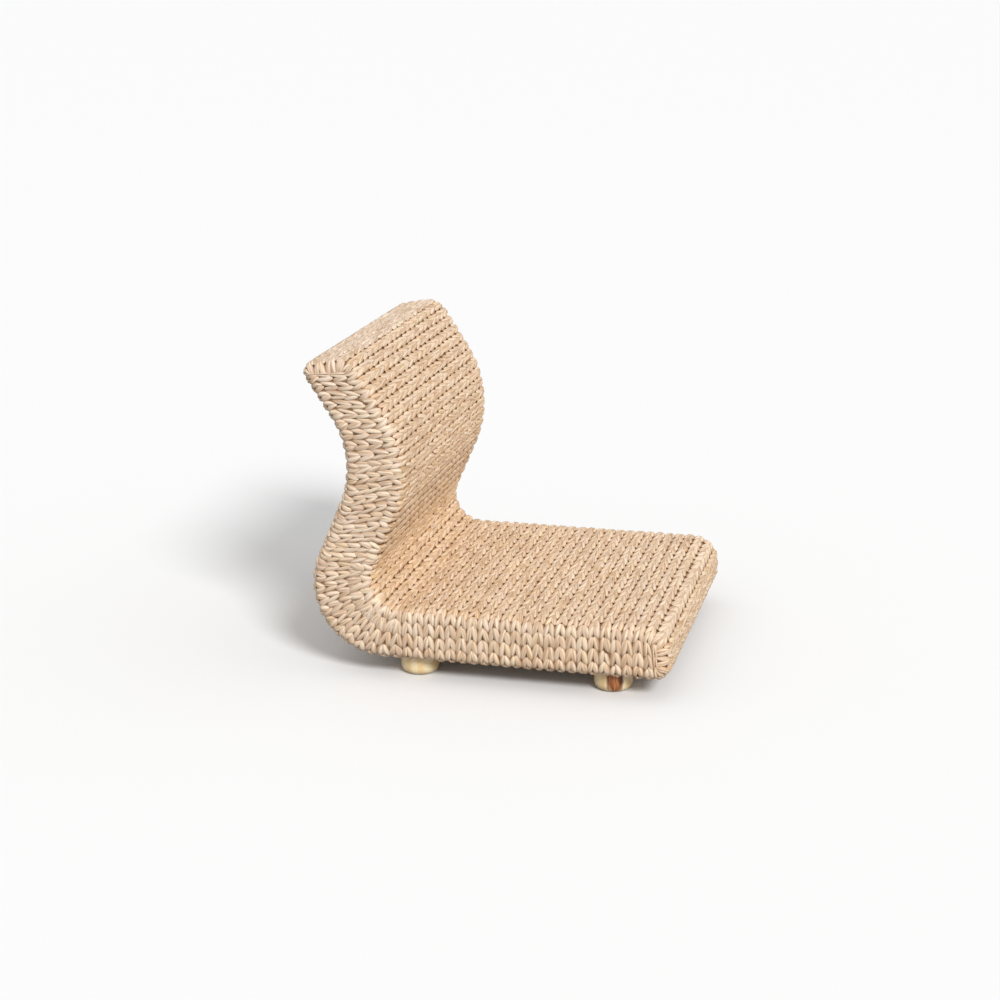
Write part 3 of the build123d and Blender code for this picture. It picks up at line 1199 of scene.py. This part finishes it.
    def mesh(self, pile: StitchPile) -> Piece:
        """Make one mesh piece of a pile of stitches.

        Args:
            pile: the laid stitches.

        Returns:
            The piece, with its strand attribute and fibre map.
        """
        points = np.concatenate(pile.points)
        shades = np.concatenate(pile.shades)
        turned = np.concatenate(pile.turned)
        stitches, corners = points.shape[:2]
        faces = []
        for kind in self.leaf_faces:
            copies = np.repeat(kind[None], stitches, axis=0)
            copies[turned] = copies[turned][..., ::-1]
            copies = copies + (np.arange(stitches) * corners)[:, None, None]
            faces += copies.reshape(-1, kind.shape[1]).tolist()
        mesh = bpy.data.meshes.new(pile.name)
        mesh.from_pydata((points.reshape(-1, 3) * MM).tolist(), [], faces)
        mesh.attributes.new("strand", "FLOAT_COLOR", "POINT").data.foreach_set("color", shades.reshape(-1))
        shift = self.chance.uniform(0.0, self.spread.fibre_shift, (stitches, 1, 1))
        size = np.array([self.stitch.width, self.stitch.length])
        fibre = (self.leaf[None, :, :2] / size + shift).reshape(-1, 2)
        loops = np.empty(len(mesh.loops), dtype=np.int32)
        mesh.loops.foreach_get("vertex_index", loops)
        mesh.uv_layers.new(name="fibre").data.foreach_set("uv", fibre[loops].reshape(-1))
        mesh.polygons.foreach_set("use_smooth", [True] * len(mesh.polygons))
        mesh.update()
        piece = bpy.data.objects.new(pile.name, mesh)
        bpy.context.scene.collection.objects.link(piece)
        return piece

    def build(self, straw: Material) -> list[Piece]:
        """Make every woven piece of the cover and hang it on the chair.

        Args:
            straw: material of the stitches.

        Returns:
            The woven pieces.
        """
        pieces = []
        for pile in self.piles():
            piece = self.mesh(pile)
            piece.data.materials.append(straw)
            pieces.append(hang(piece))
        return pieces


def paint_node(name: str, finish: Material) -> Piece:
    """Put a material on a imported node.

    Args:
        name: the node.
        finish: its material.

    Returns:
        The node's object.
    """
    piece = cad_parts[name]
    piece.data.materials.clear()
    piece.data.materials.append(finish)
    return piece


@dataclass
class TurnedFeet:
    """The four turned feet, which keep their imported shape."""

    nodes: tuple = ("foot_front_right", "foot_front_left", "foot_rear_right", "foot_rear_left")

    def dress(self, finishes: dict[Slot, Material]) -> list[Piece]:
        """Give each foot the material of its slot and return the feet."""
        return [paint_node(name, finishes[Slot.PINE]) for name in self.nodes]


@dataclass
class Carcass:
    """The hidden timber carcass and its fasteners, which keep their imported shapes."""

    steel: tuple = ("slat_screws", "rail_screws", "hanger_bolts", "tee_nuts")
    boards: tuple = ("side_board_right", "side_board_left")
    outside: tuple = ("woven_cover",) + TurnedFeet.nodes

    def slot_of(self, name: str) -> Slot:
        """The slot of a hidden node: steel fasteners, plywood side boards and timber bars."""
        wood = Slot.PLYWOOD if name in self.boards else Slot.TIMBER
        return Slot.STEEL if name in self.steel else wood

    def dress(self, finishes: dict[Slot, Material]) -> list[Piece]:
        """Give each hidden piece the material of its slot and return the pieces."""
        hidden = [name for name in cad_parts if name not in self.outside]
        return [paint_node(name, finishes[self.slot_of(name)]) for name in hidden]


@dataclass
class Studio:
    """Plain pale floor, soft light and the camera at the photograph's angle."""

    camera_place: tuple = (-2.5411, -0.5953, 0.9347)
    camera_azimuth: float = math.radians(-76.12)
    camera_elevation: float = math.radians(16.04)
    camera_reach: float = 200.0
    sensor: float = 36.0
    focal_pixels: float = 2069.93
    picture_pixels: float = 1000.0
    floor_size: float = 80.0
    floor_white: float = 0.88
    floor_bounce: float = 0.32
    floor_roughness: float = 0.9
    floor_gloss: float = 0.1
    sky: float = 0.66
    key: float = 2.42
    key_angle: float = math.radians(16.0)
    key_from: tuple = (-0.66, -0.50, 0.60)

    def build(self) -> None:
        """Make the floor, the lights and the camera, and show colours as they are."""
        self.floor()
        self.lights()
        self.camera()
        bpy.context.scene.view_settings.view_transform = "Standard"

    def floor(self) -> None:
        """Lay a plain pale floor under the feet, which throws back less light than it shows."""
        deselect_all()
        bpy.ops.mesh.primitive_plane_add(size=self.floor_size, location=(0.0, 0.0, 0.0))
        plane = bpy.context.object
        plane.name = "floor"
        sheet = NodeSheet("pale_floor")
        ray = sheet.add("LightPath", {}).outputs
        seen = ray["Is Camera Ray"]
        for kind in ("Is Glossy Ray", "Is Transmission Ray"):
            seen = sheet.add("Math", {0: seen, 1: ray[kind]}, operation="MAXIMUM").outputs["Value"]
        thrown, shown = ((grey, grey, grey, 1.0) for grey in (self.floor_bounce, self.floor_white))
        sheet.fill(sheet.shader, {
            "Base Color": sheet.ramp(seen, ((0.0, thrown), (1.0, shown))),
            "Roughness": self.floor_roughness,
            "Specular IOR Level": self.floor_gloss,
        })
        plane.data.materials.append(sheet.material)

    def lights(self) -> None:
        """Light the chair softly from the sky and from one broad lamp."""
        world = bpy.data.worlds.new("studio_sky")
        world.use_nodes = True
        sky = world.node_tree.nodes["Background"].inputs
        sky["Color"].default_value = WHITE
        sky["Strength"].default_value = self.sky
        bpy.context.scene.world = world
        lamp = bpy.data.lights.new("broad_lamp", "SUN")
        lamp.energy = self.key
        lamp.angle = self.key_angle
        holder = bpy.data.objects.new("broad_lamp", lamp)
        holder.rotation_euler = Vector(self.key_from).to_track_quat("Z", "Y").to_euler()
        bpy.context.scene.collection.objects.link(holder)

    def camera(self) -> None:
        """Set the camera at the photograph's viewing angle."""
        lens = bpy.data.cameras.new("photo_camera")
        lens.lens = self.sensor * self.focal_pixels / self.picture_pixels
        lens.sensor_width = self.sensor
        lens.clip_end = self.camera_reach
        holder = bpy.data.objects.new("photo_camera", lens)
        level = math.cos(self.camera_elevation)
        back = Vector((
            math.sin(self.camera_azimuth) * level,
            -math.cos(self.camera_azimuth) * level,
            math.sin(self.camera_elevation),
        ))
        holder.location = self.camera_place
        holder.rotation_euler = back.to_track_quat("Z", "Y").to_euler()
        bpy.context.scene.collection.objects.link(holder)
        bpy.context.scene.camera = holder


def main() -> None:
    """Build the chair's pieces in order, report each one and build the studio."""
    finishes = {
        Slot.STRAW: StrawFinish().make(),
        Slot.PINE: PineFinish().make(),
        Slot.TIMBER: CarcassFinish("sawn_softwood", srgb(226, 204, 162), srgb(198, 168, 120)).make(),
        Slot.PLYWOOD: CarcassFinish("sawn_plywood", srgb(216, 190, 148), srgb(186, 154, 108)).make(),
        Slot.STEEL: ZincFinish().make(),
    }
    # The bed's dark brown is partly painted shade for the holes; the sides' copy is lighter, with less of
    # it.
    row_bed = WarpBedFinish().make()
    side_bed = WarpBedFinish("side_bed", srgb(150, 116, 84), srgb(188, 152, 116)).make()
    profile = ChairProfile()
    pieces = [WarpBed(profile).build(row_bed, side_bed)]
    pieces += WovenCover(profile).build(finishes[Slot.STRAW])
    pieces += TurnedFeet().dress(finishes)
    pieces += Carcass().dress(finishes)
    for piece in pieces:
        log.info("%s: %s, %d faces", piece.name, piece.data.materials[0].name, len(piece.data.polygons))
    Studio().build()


if __name__ == "__main__":
    main()
